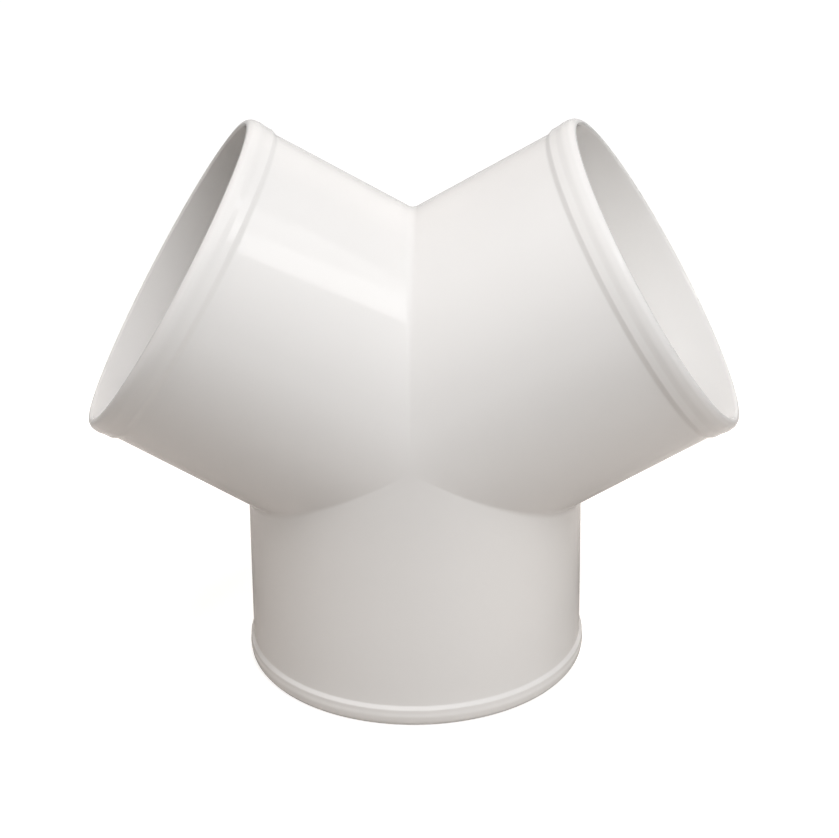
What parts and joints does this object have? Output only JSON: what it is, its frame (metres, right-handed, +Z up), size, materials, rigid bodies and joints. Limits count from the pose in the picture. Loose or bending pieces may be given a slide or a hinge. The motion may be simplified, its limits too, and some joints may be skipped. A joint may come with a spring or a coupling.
{
  "type": "duct wye fitting",
  "caption": "Hollow one-piece moulded duct wye: equal round legs leave a filleted hub evenly spaced, and each open mouth ends in a low raised rim band with a rounded lip.",
  "frame": {"origin": "centre of the stem's mouth, at the bottom of the bounding box", "axes": "+Z up the stem towards the hub, +X across the two arms towards the right-hand arm, +Y towards the back; all three leg axes lie in the XZ plane"},
  "size_m": [0.1882, 0.0996, 0.1634],
  "materials": {
    "white_plastic": "smooth glossy warm-white injection-moulded ABS"
  },
  "bodies": {
    "root": {"wye_body": "white_plastic"}
  },
  "joints": []
}
